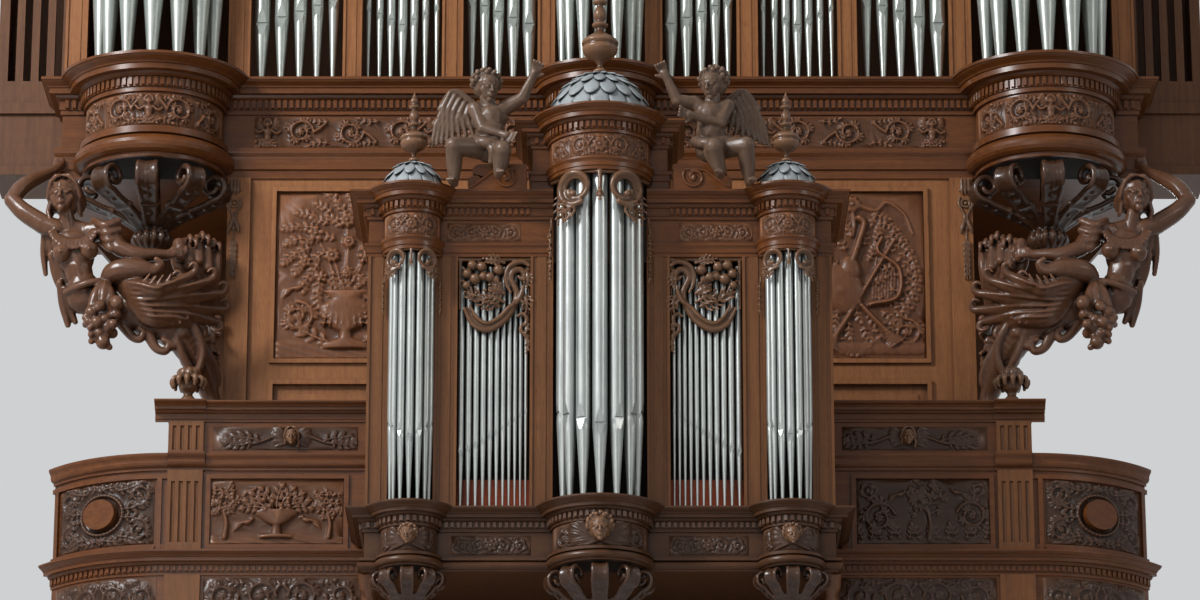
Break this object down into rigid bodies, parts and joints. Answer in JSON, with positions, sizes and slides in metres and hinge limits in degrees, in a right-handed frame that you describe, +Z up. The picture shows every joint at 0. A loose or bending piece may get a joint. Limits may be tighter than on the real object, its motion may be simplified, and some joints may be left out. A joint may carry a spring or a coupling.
{
  "type": "pipe organ",
  "caption": "Church pipe organ in a carved oak case: a chair organ on the parapet of a wooden gallery and a great case with round pipe towers behind it.",
  "frame": {"origin": "middle of the gallery front, on the flat underside of the gallery", "axes": "+X to the viewer's right, +Y from the front of the gallery towards the back wall, +Z up"},
  "size_m": [12.18, 5.9248, 14.7],
  "materials": {
    "gallery_oak": "waxed red-brown oak",
    "rail_oak": "polished red-brown oak",
    "deck_pine": "plain boards",
    "carved_dark_oak": "dark waxed oak, polished on the high spots",
    "case_oak": "waxed red-brown oak",
    "great_oak": "waxed orange-brown oak",
    "carved_oak": "carved and polished oak",
    "windchest_red": "red-lacquered board",
    "scale_grey": "painted pale blue-grey",
    "pipe_tin": "planed and polished pipe metal"
  },
  "bodies": {
    "root": {"gallery_soffit": "deck_pine", "gallery_joists": "deck_pine", "gallery_beams": "gallery_oak", "gallery_deck": "deck_pine", "gallery_cornice": "gallery_oak", "parapet_panels": "gallery_oak", "parapet_end_left": "gallery_oak", "parapet_end_right": "gallery_oak", "pilasters": "gallery_oak", "handrail": "rail_oak", "upper_screen": "gallery_oak", "screen_urns": "carved_dark_oak", "front_base": "carved_dark_oak", "front_floor": "case_oak", "front_culots": "carved_dark_oak", "front_struts": "rail_oak", "front_windchest": "windchest_red", "front_posts": "case_oak", "front_side_walls": "case_oak", "front_back_wall": "case_oak", "front_head": "case_oak", "front_domes": "scale_grey", "front_finials": "carved_oak", "front_tower_shades": "carved_oak", "front_flat_shades": "carved_oak", "front_centre_pipes": "pipe_tin", "front_left_tower_pipes": "pipe_tin", "front_right_tower_pipes": "pipe_tin", "front_left_flat_pipes": "pipe_tin", "front_right_flat_pipes": "pipe_tin", "cherub_brackets": "carved_dark_oak", "cherub_left": "carved_dark_oak", "cherub_right": "carved_dark_oak", "stage_front": "great_oak", "stage_side_walls": "great_oak", "stage_back_wall": "great_oak", "great_entablature": "great_oak", "great_culots": "carved_oak", "caryatid_left": "carved_oak", "caryatid_right": "carved_oak", "rear_brackets": "great_oak", "great_posts": "great_oak", "great_walls": "great_oak", "great_wings": "great_oak", "great_flat_heads": "great_oak", "great_tower_heads": "great_oak", "great_domes": "scale_grey", "great_finials": "carved_oak", "great_shades": "carved_oak", "great_left_tower_pipes": "pipe_tin", "great_right_tower_pipes": "pipe_tin", "great_middle_tower_pipes": "pipe_tin", "great_left_flat_pipes": "pipe_tin", "great_right_flat_pipes": "pipe_tin"}
  },
  "joints": []
}
